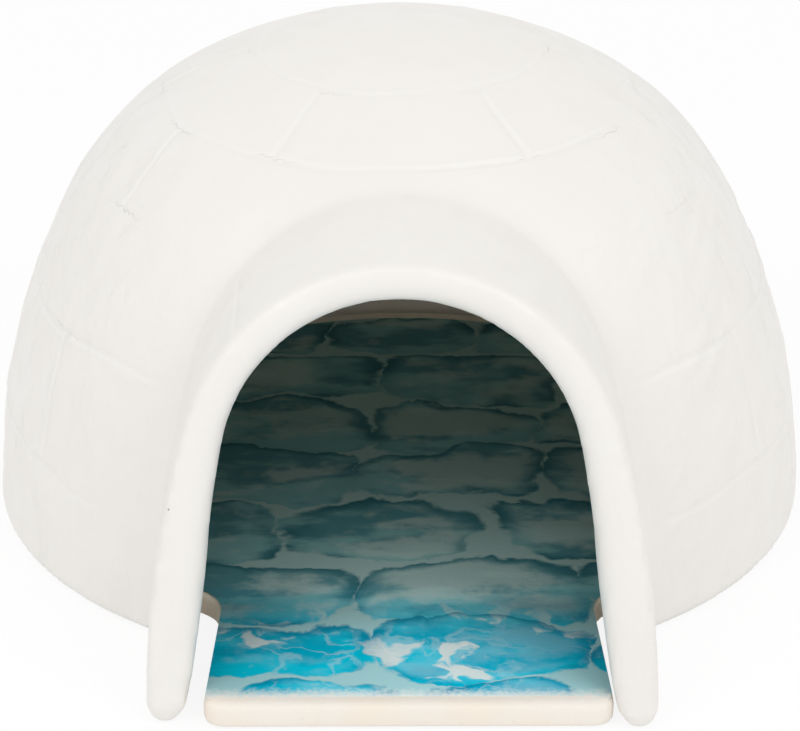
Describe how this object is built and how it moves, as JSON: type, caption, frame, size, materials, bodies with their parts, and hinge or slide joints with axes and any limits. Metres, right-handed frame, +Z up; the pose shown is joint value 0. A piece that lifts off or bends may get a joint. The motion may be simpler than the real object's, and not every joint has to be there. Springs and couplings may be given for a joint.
{
  "type": "pet igloo",
  "caption": "Glazed ceramic igloo hide for a small pet: an open-bottomed domed shell with an arched entrance tunnel, standing over a loose keyhole-shaped floor plate with an ice-stone print.",
  "frame": {"origin": "on the floor, on the dome's upright axis", "axes": "+Z up, the entrance tunnel opens towards -Y, +X to the right seen from the entrance"},
  "size_m": [0.161, 0.1793, 0.0957],
  "materials": {
    "white_glaze": "satin white glaze",
    "bare_clay": "unglazed fired clay",
    "ice_print": "fired-on print of blue ice stones"
  },
  "bodies": {
    "floor_plate": {"base_plate": "bare_clay", "ice_print": "ice_print"},
    "dome": {"igloo_dome": "white_glaze"}
  },
  "joints": [
    {"name": "dome_lift", "type": "slide", "parent": "floor_plate", "child": "dome", "axis": [0, 0, 1], "range_m": [0, 0.12]}
  ]
}
